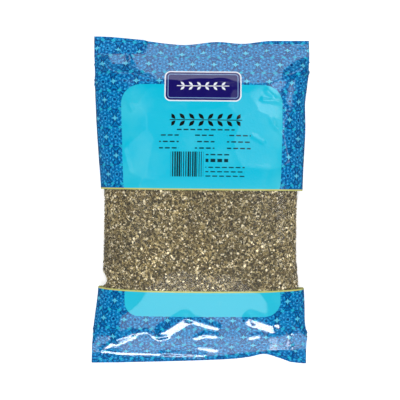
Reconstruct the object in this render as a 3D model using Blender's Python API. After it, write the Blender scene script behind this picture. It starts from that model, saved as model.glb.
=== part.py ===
"""Pillow pouch of dried parsley, lying on its back with its printed front up.

One web of film is lapped down the back, welded flat across both ends and creased down both sides.
Cut dried parsley fills it. +X is the pouch's right, +Y its top end, +Z up, away from the surface.
The origin is the middle of its outline, on the surface that it lies on. Sizes are in millimetres.
"""

import math
import random

import bmesh
import bpy
from mathutils import Vector

MM = 0.001

# Outline seen from above, as (x, y) along the two welded ends and (y, x) down the two creased sides
TOP_EDGE = [(-105.6, 163.2), (-58.9, 159.6), (-35.0, 155.9), (-16.0, 154.3), (17.6, 157.2), (40.6, 155.1),
            (72.8, 158.8), (108.5, 158.6)]
BOTTOM_EDGE = [(-108.5, -163.0), (-60.0, -161.6), (-28.0, -160.8), (3.0, -159.4), (33.0, -158.4),
               (50.0, -155.8), (63.5, -154.2), (78.0, -158.0), (92.0, -162.6), (105.2, -163.2)]
LEFT_SIDE = [(-163.0, -108.5), (-130.0, -106.0), (-90.0, -101.9), (-45.0, -99.6), (9.0, -98.9),
             (46.0, -101.2), (91.0, -103.0), (163.2, -105.6)]
RIGHT_SIDE = [(-163.2, 105.2), (-140.0, 105.7), (-120.0, 103.1), (-100.0, 103.6), (-45.0, 100.9), (9.0, 102.0),
              (50.0, 104.0), (75.0, 104.8), (94.0, 104.0), (112.0, 105.8), (126.0, 107.6), (158.6, 108.5)]

# Height of the film above the surface down the middle of the front and of the back, as (y, z)
FRONT_PROFILE = [(-159.0, 7.0), (-150.0, 9.0), (-138.0, 19.0), (-126.0, 28.5), (-113.0, 37.0), (-97.0, 44.0),
                 (-75.0, 49.0), (-45.0, 51.6), (0.0, 52.5), (45.0, 51.5), (74.0, 48.5), (95.0, 43.0),
                 (112.0, 35.0), (124.0, 28.0), (136.0, 20.5), (146.0, 13.6), (156.0, 8.0)]
BACK_PROFILE = [(-159.0, 6.0), (-150.0, 6.6), (-138.0, 2.8), (-124.0, -4.0), (-100.0, -9.0), (80.0, -9.0),
                (100.0, -5.0), (114.0, 6.0), (124.0, 15.5), (136.0, 16.6), (146.0, 12.0), (156.0, 7.0)]

# Height of the side creases, as (y, z), and how each welded end ripples above that, as (x, z)
SIDE_HEIGHT = [(-163.0, 5.0), (-140.0, 10.0), (-105.0, 17.0), (-60.0, 20.0), (60.0, 20.0), (100.0, 17.0),
               (135.0, 11.0), (163.0, 5.0)]
TOP_RIPPLE = [(-106.0, -1.5), (-60.0, 0.5), (-16.0, 5.5), (17.0, 0.5), (40.0, 4.0), (75.0, -0.5), (108.5, -2.0)]
BOTTOM_RIPPLE = [(-108.5, -2.5), (-60.0, -0.5), (0.0, 1.5), (35.0, 3.0), (63.0, 10.0), (78.0, 5.0), (91.0, -3.0),
                 (105.0, -2.5)]
RIPPLE_REACH = 42.0

# How full the cross-section is: 2 is a lens, more is flatter on top and steeper at the sides
FRONT_FULLNESS = 2.6
BACK_FULLNESS = 2.4

# Film, welds and lap
WALL = 0.5
WELD = 10.0
LAP_HALF = 6.0
LAP_STATIONS = (0.068, 0.088)
LAP_ENDS = (-112.0, 92.0)
SLIT = 0.35
SLIT_MOUTH = 0.6
LAYERS_APART = 0.5

# Folds in the film, each a ridge or, with a height below 0, a valley: (x0, y0, x1, y1, half width, height)
FOLDS = [
    (-88.0, -143.0, -58.0, -131.0, 6.0, 2.6),
    (-56.0, -131.0, -38.0, -137.0, 6.0, 2.4),
    (-36.0, -136.0, -13.0, -119.0, 6.0, 3.0),
    (-12.0, -119.0, 18.0, -129.0, 6.0, 2.6),
    (66.0, -116.0, 84.0, -131.0, 6.0, 3.2),
    (91.0, -160.0, 90.0, -132.0, 5.0, 3.0),
    (-84.0, 142.0, -58.0, 124.0, 6.0, -2.4),
    (-52.0, 123.0, 60.0, 122.0, 6.0, -2.2),
    (64.0, 122.0, 100.0, 140.0, 6.0, -2.4),
]

# Parsley inside
FILL_GAP = 0.45
FLAKE_RELIEF = 1.5
FILL_SEED = 11
FILL_TOP = 121.0

# Lattice that every sheet shares: columns across the web and rows along it
COLUMNS = 26
ROWS = 36
HALF_LENGTH = 163.2
LEAF = (0.35, 0.33, 0.20)
FILM = (0.16, 0.52, 0.78)


def through(points, at):
    """Value at one place of the smooth curve through hand-placed points, flat beyond its ends."""
    if at <= points[0][0]:
        return points[0][1]
    for i in range(len(points) - 1):
        (x0, y0), (x1, y1) = points[i], points[i + 1]
        if at <= x1:
            before = points[i - 1] if i > 0 else points[i]
            after = points[i + 2] if i + 2 < len(points) else points[i + 1]
            slope0 = (y1 - before[1]) / (x1 - before[0])
            slope1 = (after[1] - y0) / (after[0] - x0)
            span = x1 - x0
            u = (at - x0) / span
            return ((2 * u ** 3 - 3 * u ** 2 + 1) * y0 + (u ** 3 - 2 * u ** 2 + u) * span * slope0
                    + (3 * u ** 2 - 2 * u ** 3) * y1 + (u ** 3 - u ** 2) * span * slope1)
    return points[-1][1]


def eased(u):
    """0 below 0, 1 above 1, and smooth in between."""
    u = min(max(u, 0.0), 1.0)
    return u * u * (3 - 2 * u)


def column_stations():
    """Places across the web from -1 to 1: closer at the creases, with two by each edge of the lap."""
    half = COLUMNS // 2
    outside_lap = [a * (1.25 - 0.25 * a * a) for a in (i / half for i in range(2, half + 1))]
    right = [*LAP_STATIONS, *outside_lap]
    return [-s for s in reversed(right)] + right


def row_stations():
    """Places along the web from -1 to 1: the two welds first, then rows that are closer near the ends."""
    weld = 1 - WELD / HALF_LENGTH
    inner = ROWS - 4
    even = [2 * j / inner - 1 for j in range(inner + 1)]
    between = [weld * b * (1.2 - 0.2 * b * b) for b in even]
    half = (1 + weld) / 2
    return [-1.0, -half, *between, half, 1.0]


def plan(s, t):
    """(x, y) of a place on the web: across s from -1 to 1 and along t from -1 to 1."""
    u = (s + 1) / 2
    v = (t + 1) / 2
    low_left, low_right = BOTTOM_EDGE[0], BOTTOM_EDGE[-1]
    high_left, high_right = TOP_EDGE[0], TOP_EDGE[-1]
    straight_low = low_left[1] + (low_right[1] - low_left[1]) * u
    straight_high = high_left[1] + (high_right[1] - high_left[1]) * u
    y = straight_low * (1 - v) + straight_high * v
    x = through(LEFT_SIDE, y) * (1 - u) + through(RIGHT_SIDE, y) * u
    y += (through(TOP_EDGE, x) - straight_high) * eased(3 * v - 2)
    y += (through(BOTTOM_EDGE, x) - straight_low) * eased(1 - 3 * v)
    return x, y


def ripple(x, y):
    """Height that the wavy welded ends add, fading out towards the full middle."""
    top = through(TOP_RIPPLE, x) * eased(1 - (156.0 - y) / RIPPLE_REACH)
    bottom = through(BOTTOM_RIPPLE, x) * eased(1 - (y + 158.0) / RIPPLE_REACH)
    return top + bottom


def fold_height(x, y):
    """Height that the folds add to the front film."""
    total = 0.0
    for x0, y0, x1, y1, half_width, height in FOLDS:
        along_x, along_y = x1 - x0, y1 - y0
        length = math.hypot(along_x, along_y)
        along = ((x - x0) * along_x + (y - y0) * along_y) / length
        across = ((x - x0) * along_y - (y - y0) * along_x) / length
        past_end = max(-along, along - length, 0.0)
        total += height * math.exp(-(across ** 2 + past_end ** 2) / half_width ** 2)
    return total


def back_height(s, t):
    """Height of the outside of the back film. Where it would sink below the surface it lies flat at 0."""
    x, y = plan(s, t)
    side = through(SIDE_HEIGHT, y)
    middle = through(BACK_PROFILE, y)
    height = side + (middle - side) * (1 - abs(s) ** BACK_FULLNESS) + ripple(x, y)
    return max(height, 0.0)


def front_height(s, t):
    """Height of the outside of the front film, never closer to the back than two films and a little air."""
    x, y = plan(s, t)
    side = through(SIDE_HEIGHT, y)
    middle = through(FRONT_PROFILE, y)
    height = side + (middle - side) * (1 - abs(s) ** FRONT_FULLNESS) + ripple(x, y)
    height += fold_height(x, y) * eased(4 * (1 - abs(s)))
    return max(height, back_height(s, t) + least_thickness(s, t))


def least_thickness(s, t):
    """Two films where they are welded or creased, and a little more where they only lie on each other."""
    if is_welded(s, t):
        return 2 * WALL
    return 2 * WALL + LAYERS_APART + 2 * (WALL + SLIT) * in_lap(s)


def is_welded(s, t):
    columns, rows = column_stations(), row_stations()
    return abs(s) >= columns[-2] - 1e-6 or abs(t) >= rows[-3] - 1e-6


def in_lap(s):
    """1 inside the lap of the web's two long edges, 0 outside it."""
    return 1.0 if abs(s) <= LAP_STATIONS[0] else 0.0


def cavity_front(s, t):
    if is_welded(s, t):
        return (front_height(s, t) + back_height(s, t)) / 2
    return front_height(s, t) - WALL


def cavity_back(s, t):
    if is_welded(s, t):
        return (front_height(s, t) + back_height(s, t)) / 2
    return back_height(s, t) + WALL + (WALL + SLIT) * in_lap(s)


def sheet(mesh, columns, rows, height):
    """One lattice of the web laid out by create_grid, then lifted to its height."""
    before = set(mesh.verts)
    made = bmesh.ops.create_grid(mesh, x_segments=len(columns) - 1, y_segments=len(rows) - 1, size=1.0)
    faces = list({face for vertex in made["verts"] for face in vertex.link_faces})
    bmesh.ops.triangulate(mesh, faces=faces, quad_method="FIXED")
    new = [vertex for vertex in mesh.verts if vertex not in before]
    for vertex in new:
        s = columns[round((vertex.co.x + 1) / 2 * (len(columns) - 1))]
        t = rows[round((vertex.co.y + 1) / 2 * (len(rows) - 1))]
        x, y = plan(s, t)
        vertex.co = Vector((x, y, height(s, t))) * MM
    return new


def object_from(name, mesh):
    """An object in the scene from a closed bmesh, with its faces pointing out."""
    bmesh.ops.recalc_face_normals(mesh, faces=mesh.faces[:])
    data = bpy.data.meshes.new(name)
    mesh.to_mesh(data)
    mesh.free()
    made = bpy.data.objects.new(name, data)
    bpy.context.scene.collection.objects.link(made)
    return made


def closed_between(name, columns, rows, front, back, rim_meets=False):
    """A closed body between a front and a back sheet, joined round their rims."""
    mesh = bmesh.new()
    sheet(mesh, columns, rows, front)
    back_vertices = set(sheet(mesh, columns, rows, back))
    back_faces = [face for face in mesh.faces if set(face.verts) <= back_vertices]
    bmesh.ops.reverse_faces(mesh, faces=back_faces)
    if rim_meets:
        corners = [face for face in mesh.faces if all(vertex.is_boundary for vertex in face.verts)]
        bmesh.ops.delete(mesh, geom=corners, context="FACES")
        bmesh.ops.remove_doubles(mesh, verts=mesh.verts[:], dist=0.001 * MM)
    else:
        rims = [edge for edge in mesh.edges if edge.is_boundary]
        bmesh.ops.bridge_loops(mesh, edges=rims)
        bmesh.ops.triangulate(mesh, faces=[face for face in mesh.faces if len(face.verts) > 3])
    return object_from(name, mesh)


def lap_cutter():
    """The Z-shaped slit between the two lapped edges of the web, where the back lies flat.

    It opens to the outside at one edge of the lap and to the inside at the other."""
    outside, low, high = -4 * WALL, WALL, WALL + SLIT
    inside = high + 1.5 * WALL
    right, left = LAP_HALF, -LAP_HALF
    right_lip, left_lip = right - SLIT_MOUTH, left + SLIT_MOUTH
    outline = [(right_lip, outside), (right, outside), (right, high), (left_lip, high), (left_lip, inside),
               (left, inside), (left, low), (right_lip, low)]
    mesh = bmesh.new()
    face = mesh.faces.new([mesh.verts.new(Vector((x, LAP_ENDS[0], z)) * MM) for x, z in outline])
    swept = bmesh.ops.extrude_face_region(mesh, geom=[face])["geom"]
    length = Vector((0, LAP_ENDS[1] - LAP_ENDS[0], 0)) * MM
    bmesh.ops.translate(mesh, verts=[v for v in swept if isinstance(v, bmesh.types.BMVert)], vec=length)
    return object_from("lap_slit", mesh)


def finish_for(name, colour, roughness, alpha=1.0):
    material = bpy.data.materials.new(name)
    material.use_nodes = True
    shader = material.node_tree.nodes["Principled BSDF"]
    shader.inputs["Base Color"].default_value = (*colour, 1.0)
    shader.inputs["Roughness"].default_value = roughness
    shader.inputs["Metallic"].default_value = 0.0
    shader.inputs["Alpha"].default_value = alpha
    return material


def make_pouch(columns, rows):
    """The film: a solid pillow, less the slit of its back lap, less the room inside."""
    pouch = closed_between("film_pouch", columns, rows, front_height, back_height)
    inside = closed_between("inside_of_pouch", columns[1:-1], rows[2:-2], cavity_front, cavity_back, rim_meets=True)
    slit = lap_cutter()
    for cutter in (slit, inside):
        cutter.hide_render = True
        cutter.display_type = "WIRE"
        cut = pouch.modifiers.new("less_" + cutter.name, "BOOLEAN")
        cut.operation = "DIFFERENCE"
        cut.solver = "EXACT"
        cut.object = cutter
    pouch.data.shade_smooth()
    pouch.data.materials.append(finish_for("printed_film", FILM, 0.2, 0.55))
    return pouch


def make_fill(columns, rows):
    """The parsley: one packed mass that follows the inside of the film, rough with flakes."""
    draw = random.Random(FILL_SEED)

    def front(s, t):
        return cavity_front(s, t) - FILL_GAP - FLAKE_RELIEF * draw.random()

    def back(s, t):
        return cavity_back(s, t) + FILL_GAP

    used_rows = [t for t in rows[4:] if plan(0.0, t)[1] < FILL_TOP]
    fill = closed_between("parsley_fill", columns[2:-2], used_rows, front, back)
    fill.data.materials.append(finish_for("dried_parsley", LEAF, 0.9))
    return fill


def main():
    for old in list(bpy.data.objects):
        bpy.data.objects.remove(old)
    columns, rows = column_stations(), row_stations()
    make_pouch(columns, rows)
    make_fill(columns, rows)


main()
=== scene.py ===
# %% [markdown]
# Pouch of dried parsley
#
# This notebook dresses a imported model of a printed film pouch, filled with cut dried parsley, that lies on
# its back. The real pouch is one web of thin film. Its long edges lap down the back, both ends are welded
# flat, and the print is ink on the film itself. Two things make it look real: film that is too long for the
# shape it is held in, so that it buckles near the ends, and thousands of small leaf bits under clear film.
#
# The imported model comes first, because every piece has to fit it.

import math

import bmesh
import bpy
import numpy as np
from mathutils import Matrix, Vector


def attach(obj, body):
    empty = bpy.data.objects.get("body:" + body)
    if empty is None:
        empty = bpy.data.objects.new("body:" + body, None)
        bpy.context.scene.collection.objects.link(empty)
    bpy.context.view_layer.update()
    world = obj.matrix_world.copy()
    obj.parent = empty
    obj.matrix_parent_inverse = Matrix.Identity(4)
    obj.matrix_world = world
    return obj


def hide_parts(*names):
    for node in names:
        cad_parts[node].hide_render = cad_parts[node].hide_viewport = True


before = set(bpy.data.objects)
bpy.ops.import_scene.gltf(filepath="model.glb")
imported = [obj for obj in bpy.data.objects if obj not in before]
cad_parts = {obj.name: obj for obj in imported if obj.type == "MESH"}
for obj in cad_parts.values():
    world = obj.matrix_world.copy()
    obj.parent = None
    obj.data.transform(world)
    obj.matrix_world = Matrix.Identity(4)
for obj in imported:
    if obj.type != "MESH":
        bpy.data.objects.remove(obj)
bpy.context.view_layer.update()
MM = 0.001

# %% [markdown]
# Camera and stage
#
# The photograph looks straight down on the pouch, with its top end up, and shows it on plain white. A long
# lens from 1.5 m keeps the sides nearly parallel. One pixel of the 400 pixel picture covers one millimetre
# at the height of the pouch's side creases, so the lens follows from the distance.
#
# Glossy film and dull leaf ask for different light, so the two kinds are kept apart. A wide sun and a
# glowing floor light everything evenly, and don't shine in the film. The soft boxes do the opposite: they
# only shine in the film, so each one can be placed for one glare, and no colour changes with it.

# %% Camera straight above
PICTURE_WIDTH = 0.400
CAMERA_HEIGHT = 1.5
CREASE_HEIGHT = 0.015
CAMERA_AIM = (-0.0002, 0.0005)
SENSOR = 36.0


def placed(name, data):
    """A new object with this data, in the scene."""
    made = bpy.data.objects.new(name, data)
    bpy.context.scene.collection.objects.link(made)
    return made


lens = bpy.data.cameras.new("camera")
camera = placed("camera", lens)
lens.sensor_width = SENSOR
lens.lens = SENSOR * (CAMERA_HEIGHT - CREASE_HEIGHT) / PICTURE_WIDTH
camera.location = (*CAMERA_AIM, CAMERA_HEIGHT)
bpy.context.scene.camera = camera
print("lens in mm:", round(lens.lens, 1))

# %% Floor, sky and lamps
FLOOR_SIZE = 8.0
FLOOR_DROP = 0.0010
FLOOR_WHITE = 0.93
SKY_STRENGTH = 0.06
CEILING_POWER = 2.9
FLOOR_GLOW = 0.5
WALL_RADIUS = 3.9
WALL_HEIGHT = 2.4
CEILING_SPREAD = 70.0
WHITE = (1.0, 1.0, 1.0, 1.0)
LAMP_AIM = Vector((0.0, 0.0, 0.02))


def simple_material(name, colour, roughness):
    """A plain Principled material: the start of every finish here."""
    material = bpy.data.materials.new(name)
    material.use_nodes = True
    shader = material.node_tree.nodes["Principled BSDF"]
    shader.inputs["Base Color"].default_value = (*colour, 1.0)
    shader.inputs["Roughness"].default_value = roughness
    return material, shader


def linked_object(name, mesh):
    """A bmesh becomes an object at the origin, and the bmesh is freed."""
    data = bpy.data.meshes.new(name)
    mesh.to_mesh(data)
    mesh.free()
    return placed(name, data)


def lamp(name, place, size, power):
    """A soft box that only shines in the film: an area lamp of this width and height."""
    light = bpy.data.lights.new(name, "AREA")
    light.shape = "RECTANGLE"
    light.size, light.size_y = size
    light.energy = power
    holder = placed(name, light)
    holder.location = place
    holder.rotation_euler = (LAMP_AIM - Vector(place)).to_track_quat("-Z", "Y").to_euler()
    holder.visible_diffuse = False


floor_mesh = bmesh.new()
bmesh.ops.create_grid(floor_mesh, x_segments=1, y_segments=1, size=FLOOR_SIZE / 2)
bmesh.ops.translate(floor_mesh, verts=floor_mesh.verts, vec=(0, 0, -FLOOR_DROP))
floor = linked_object("floor", floor_mesh)
wall_mesh = bmesh.new()
bmesh.ops.create_cone(wall_mesh, segments=96, radius1=WALL_RADIUS, radius2=WALL_RADIUS, depth=WALL_HEIGHT)
wall = linked_object("wall", wall_mesh)
for stage, glow in ((floor, FLOOR_GLOW), (wall, 1.0)):
    white, shader = simple_material(stage.name + "_white", (FLOOR_WHITE,) * 3, 0.9)
    shader.inputs["Emission Color"].default_value = WHITE
    shader.inputs["Emission Strength"].default_value = glow
    stage.data.materials.append(white)
    stage.visible_glossy = False
wall.visible_diffuse = False
wall.visible_shadow = False

sky = bpy.data.worlds.new("sky")
bpy.context.scene.world = sky
sky.use_nodes = True
sky.node_tree.nodes["Background"].inputs["Color"].default_value = WHITE
sky.node_tree.nodes["Background"].inputs["Strength"].default_value = SKY_STRENGTH

ceiling = bpy.data.lights.new("ceiling", "SUN")
ceiling.energy = CEILING_POWER
ceiling.angle = math.radians(CEILING_SPREAD)
placed("ceiling", ceiling).visible_glossy = False
# Each soft box: its name, its place, its width and height, and its power.
lamp("box_top_end", (0.15, 1.3, 0.46), (1.9, 0.5), 7.5)
lamp("box_bottom_end", (0.04, -1.0, 0.63), (0.52, 0.75), 3.0)
lamp("strip_bottom_end", (0.0, -0.95, 0.095), (0.9, 0.17), 11.0)
lamp("strip_corner", (0.75, -0.75, 0.10), (0.25, 0.14), 3.0)
lamp("box_left", (-0.60, 0.35, 1.05), (1.2, 0.35), 1.1)
lamp("box_right", (0.60, 0.35, 1.05), (1.2, 0.35), 1.1)
lamp("strip_right", (0.9, 0.15, 0.5), (0.5, 0.2), 1.0)
lamp("box_right_end", (0.60, 0.62, 0.86), (0.42, 0.36), 1.6)
bpy.context.scene.view_settings.view_transform = "Standard"

# %% [markdown]
# The film before it is filled
#
# Laid flat, the empty pouch is a tube of film 217 mm wide and 334 mm long, with 10 mm welded at each end.
# Full of parsley it is about 52 mm thick, and then its ends lie closer together than the film is long. That
# spare length is what buckles near the ends. The curves below give where the two welded ends lie, seen
# from above, how they wave up and down, and where the two side creases run.

# %% Flat sizes, in millimetres
WIDTH = 217.0
LENGTH = 334.0
WELD = 10.0
# Seen from above: (x, y) along each welded end, (x, z) for its waves, and (y, x) down each side crease.
TOP_EDGE = [(-106, 164.2), (-59.3, 160.8), (-35.4, 157.9), (-16, 156.2), (17.6, 159.3), (41, 157.8),
            (73.6, 161), (109.7, 161)]
BOTTOM_EDGE = [(-109.6, -163.6), (-61, -162.6), (-28.4, -161.8), (3, -160.8), (33, -159.2), (50.4, -157),
               (64, -154.2), (79, -158.4), (93.5, -163.2), (106.8, -164.4)]
TOP_WAVE = [(-107, 13), (-62, 15), (-52, 9), (-16, 12), (17, 8), (40, 11), (75, 8), (110, 6)]
BOTTOM_WAVE = [(-108.5, 1.5), (-60, 3.5), (0, 6), (35, 7), (63, 8.5), (78, 6.5), (91, 2.5), (105, 1.5)]
LEFT_SIDE = [(-163.6, -109.6), (-130, -107.4), (-90, -102.2), (-45, -99.6), (9, -98.9), (46, -101.4),
             (91, -104.2), (140, -105.8), (164.2, -106)]
RIGHT_SIDE = [(-164.4, 106.8), (-140, 107), (-120, 104.8), (-100, 104.2), (-45, 100.9), (9, 102), (50, 104),
              (75, 105), (94, 104.8), (112, 106.8), (126, 108.6), (161.6, 109.7)]


def through(points, at):
    """Smooth curve through given points: it never swings past one, and is level beyond its ends."""
    x, y = np.array(points, dtype=float).T
    rise = np.diff(y) / np.diff(x)
    same_way = rise[:-1] * rise[1:]
    slope = np.zeros(len(x))
    slope[1:-1] = np.where(same_way > 0, 2 * same_way / np.where(same_way > 0, rise[:-1] + rise[1:], 1), 0)
    left = np.clip(np.searchsorted(x, at) - 1, 0, len(x) - 2)
    span = x[left + 1] - x[left]
    u = np.clip((at - x[left]) / span, 0, 1)
    start = (2 * u**3 - 3 * u**2 + 1) * y[left] + (u**3 - 2 * u**2 + u) * span * slope[left]
    end = (3 * u**2 - 2 * u**3) * y[left + 1] + (u**3 - u**2) * span * slope[left + 1]
    return start + end


def eased(u):
    """0 below 0, 1 above 1, smooth in between."""
    u = np.clip(u, 0, 1)
    return u * u * (3 - 2 * u)


print("film area in square metres:", round(2 * WIDTH * LENGTH * 1e-6, 3))

# %% [markdown]
# Filling the pouch
#
# Blender's Cloth could inflate the tube, but it needs hundreds of careful steps for film, which hardly
# stretches. A small solver of the same kind does it faster: the tube is a lattice of points, each point
# moves by its own speed, and then every short link between two points is put back to its length. Links
# that share no point are put right together, as one array operation. The filling pushes outwards until the
# pouch holds its volume, the welds are drawn to where the ends lie, and the surface below stops the back.
# The lattice starts coarse, so that the whole shape settles, and is made finer twice, for the small folds.

# %% The lattice and its links
COLUMNS = 40
ROWS = 37
SHEAR = 0.5
STIFFNESS = 0.05


def flat_places(columns, rows):
    """Across and along places on the flat film. Columns 0 to half are the front, the rest the back."""
    half = columns // 2
    column = np.arange(columns)
    step = WIDTH / half
    across = np.where(column <= half, column * step - WIDTH / 2, WIDTH / 2 - (column - half) * step)
    along = np.linspace(-LENGTH / 2, LENGTH / 2, rows)
    return across, along


def links(columns, rows):
    """Groups of links with no shared point, as (first points, second points, length, stiffness)."""
    number = np.arange(columns * rows).reshape(columns, rows)
    one_on = np.roll(number, -1, 0)
    two_on = np.roll(number, -2, 0)
    wide = 2 * WIDTH / columns
    tall = LENGTH / (rows - 1)
    slant = math.hypot(wide, tall)
    creases = (0, columns // 2)
    groups = []
    for phase in (0, 1):
        lower = np.arange(phase, rows - 1, 2)
        groups.append((number[phase::2], one_on[phase::2], wide, 1.0))
        groups.append((number[:, lower], number[:, lower + 1], tall, 1.0))
        groups.append((number[phase::2, :-1], one_on[phase::2, 1:], slant, SHEAR))
        groups.append((number[phase::2, 1:], one_on[phase::2, :-1], slant, SHEAR))
    for phase in (0, 2):
        pair = [column for column in range(columns)
                if column % 4 in (phase, phase + 1) and (column + 1) % columns not in creases]
        lower = np.array([row for row in range(rows - 2) if row % 4 in (phase, phase + 1)])
        groups.append((number[pair], two_on[pair], 2 * wide, STIFFNESS))
        groups.append((number[:, lower], number[:, lower + 2], 2 * tall, STIFFNESS))
    return [(first.ravel(), second.ravel(), length, stiff) for first, second, length, stiff in groups]


print("links on the coarse lattice:", sum(len(group[0]) for group in links(COLUMNS, ROWS)))

# %% Forces and limits
VOLUME = 1.94e6
PRESSURE = 0.3
WEIGHT_OF_FILL = 0.00004
WEIGHT_OF_FILM = 0.002
BOTTOM_LEAN = [(-110, 0.5), (107, 0.5)]
TOP_LEAN = [(-107, 0.05), (-62, 0.05), (-52, 0.6), (110, 0.6)]
FILL_FADE = 12.0
FILM_GAP = 0.3
GRIP = 0.5


def outward_areas(points):
    """The outward area vector that belongs to each point of the tube."""
    across = np.roll(points, -1, 0) - np.roll(points, 1, 0)
    along = np.empty_like(points)
    along[:, 1:-1] = points[:, 2:] - points[:, :-2]
    along[:, 0] = points[:, 1] - points[:, 0]
    along[:, -1] = points[:, -1] - points[:, -2]
    return np.cross(across, along) / 4


def weld_places(columns, rows):
    """Where the points of both welds end up: row number to places."""
    across, along = flat_places(columns, rows)
    tall = LENGTH / (rows - 1)
    places = {}
    for step in range(int(round(WELD / tall)) + 1):
        for row, edge, wave, inward, leans in ((step, BOTTOM_EDGE, BOTTOM_WAVE, 1, BOTTOM_LEAN),
                                               (rows - 1 - step, TOP_EDGE, TOP_WAVE, -1, TOP_LEAN)):
            left, right = edge[0][0], edge[-1][0]
            x = left + (across / WIDTH + 0.5) * (right - left)
            lean = through(leans, x)
            y = through(edge, x) + inward * step * tall * np.cos(lean)
            z = through(wave, x) + step * tall * np.sin(lean)
            places[row] = np.stack([x, y, z], -1)
    return places


def put_links_right(points, groups):
    """Puts every link back to its length, one group after the other."""
    flat = points.reshape(-1, 3)
    for first, second, length, stiff in groups:
        gap = flat[second] - flat[first]
        distance = np.sqrt(np.einsum("ij,ij->i", gap, gap)) + 1e-9
        shift = gap * ((distance - length) / distance * 0.5 * stiff)[:, None]
        flat[first] += shift
        flat[second] -= shift


def keep_front_above(points, rows):
    """Holds the front film above the back one in these rows."""
    front = np.arange(1, points.shape[0] // 2)
    back = points.shape[0] - front
    apart = points[np.ix_(front, rows)][..., 2] - points[np.ix_(back, rows)][..., 2]
    lift = np.clip(FILM_GAP - apart, 0, None) / 2
    points[np.ix_(front, rows, [2])] += lift[..., None]
    points[np.ix_(back, rows, [2])] -= lift[..., None]


# %% One solving run
def settle(points, steps, keep_speed, drawing_in=0):
    """Moves the lattice step by step until the filling, the welds and the film agree."""
    columns, rows, _ = points.shape
    groups = links(columns, rows)
    goals = weld_places(columns, rows)
    first_places = {row: points[:, row].copy() for row in goals}
    along = flat_places(columns, rows)[1]
    filled = np.clip((LENGTH / 2 - WELD - np.abs(along)) / FILL_FADE, 0, 1)[None, :]
    cell = 2 * WIDTH / columns * LENGTH / (rows - 1)
    free_rows = [row for row in range(rows) if row not in goals]
    speed = np.zeros_like(points)
    for step in range(steps):
        outward = outward_areas(points)
        volume = float((points * outward).sum() / 3)
        push = PRESSURE * (1 - volume / VOLUME) + WEIGHT_OF_FILL * (points[..., 2].max() - points[..., 2])
        force = outward / cell * (push * filled)[..., None]
        force[..., 2] -= WEIGHT_OF_FILM
        moved = points + (speed + force) * keep_speed
        put_links_right(moved, groups)
        drawn = min(1.0, (step + 1) / drawing_in) if drawing_in else 1.0
        for row, goal in goals.items():
            moved[:, row] = first_places[row] * (1 - drawn) + goal * drawn
        keep_front_above(moved, free_rows)
        on_surface = moved[..., 2] < 0
        moved[..., 2][on_surface] = 0
        speed = moved - points
        speed[on_surface] *= GRIP
        points = moved
    return points, volume


# %% Settle the film, coarse to fine
SEED = 3
START_PUFF = 5.0
START_FADE = 30.0
START_SHRUNK = 0.95
ROUGHNESS_OF_START = (0.4, 0.3, 0.1)
STEPS = (1200, 700, 400)
SPEED_KEPT = (0.97, 0.96, 0.95)
DRAWING_IN = 500


def flat_tube(columns, rows, draw):
    """The empty tube, puffed a little so that its front and back start apart."""
    across, along = flat_places(columns, rows)
    points = np.zeros((columns, rows, 3))
    points[..., 0] = across[:, None]
    points[..., 1] = along[None, :] * START_SHRUNK
    inside = np.clip((WIDTH / 2 - np.abs(across)) / START_FADE, 0, 1)[:, None]
    inside = inside * np.clip((LENGTH / 2 - WELD - np.abs(along)) / START_FADE, 0, 1)[None, :]
    side = np.where(np.arange(columns) < columns // 2, START_PUFF, -START_PUFF)[:, None]
    points[..., 2] = side * inside + START_PUFF + 1
    points[..., 2] += draw.normal(0, ROUGHNESS_OF_START[0], (columns, rows)) * inside
    return points


def halfway(near, far, smooth):
    """Places halfway between near neighbours, corrected by the far ones where smooth is more than 0."""
    return (0.5 + smooth) * near - smooth * far


def finer(points, smooth=0.0):
    """Twice the columns and rows. New points lie halfway on straight lines, or on curves through four."""
    columns, rows, _ = points.shape
    wide = np.empty((2 * columns, rows, 3))
    wide[0::2] = points
    far = np.roll(points, 1, 0) + np.roll(points, -2, 0)
    wide[1::2] = halfway(points + np.roll(points, -1, 0), far, smooth)
    before = 2 * wide[:, :1] - wide[:, 1:2]
    after = 2 * wide[:, -1:] - wide[:, -2:-1]
    longer = np.concatenate([before, wide, after], axis=1)
    tall = np.empty((2 * columns, 2 * rows - 1, 3))
    tall[:, 0::2] = wide
    tall[:, 1::2] = halfway(longer[:, 1:-2] + longer[:, 2:-1], longer[:, :-3] + longer[:, 3:], smooth)
    return tall


draw = np.random.default_rng(SEED)
film, held = settle(flat_tube(COLUMNS, ROWS, draw), STEPS[0], SPEED_KEPT[0], DRAWING_IN)
for level in (1, 2):
    film = finer(film)
    film[..., 2] += draw.normal(0, ROUGHNESS_OF_START[level], film.shape[:2])
    steps = STEPS[level]
    film, held = settle(film, steps, SPEED_KEPT[level])
print("film lattice:", film.shape[:2], "litres:", round(held * 1e-6, 2))
print("thickness:", round(film[..., 2].max(), 1))

# %% [markdown]
# From lattice to film
#
# The solver gives a true pouch, but not exactly this one. So its side creases are moved to the measured
# outline, its heights are scaled to the measured profile, and its lattice is made finer along smooth
# curves. Between the filling and each weld the two films of the real pouch are drawn flat, into long even
# slopes that each mirror one lamp. They are made as roofs: no point may stand higher than its roof.

# %% Fit the sides, and draw the ends flat
FILM_THICK = 0.25
FIT_REACH = 3.0
SMOOTH_CURVE = 1 / 16
FRONT_PROFILE = [(-162, 12), (-152, 19), (-143, 24), (-134, 28), (-125.5, 31), (-113, 35.5), (-97, 41),
                 (-85, 44.8), (-75, 47.6), (-60, 50.1), (-45, 51.1), (0, 51.6), (45, 50.6), (74, 47.8),
                 (95, 43.4), (109, 39.2), (123, 33.4), (136, 29), (148, 25), (158, 18)]
SLACK_TAKEN = 7.0
SLACK_FROM = 118.0
SLACK_FADE = 14.0
SLACK_SIDE = 26.0
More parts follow.
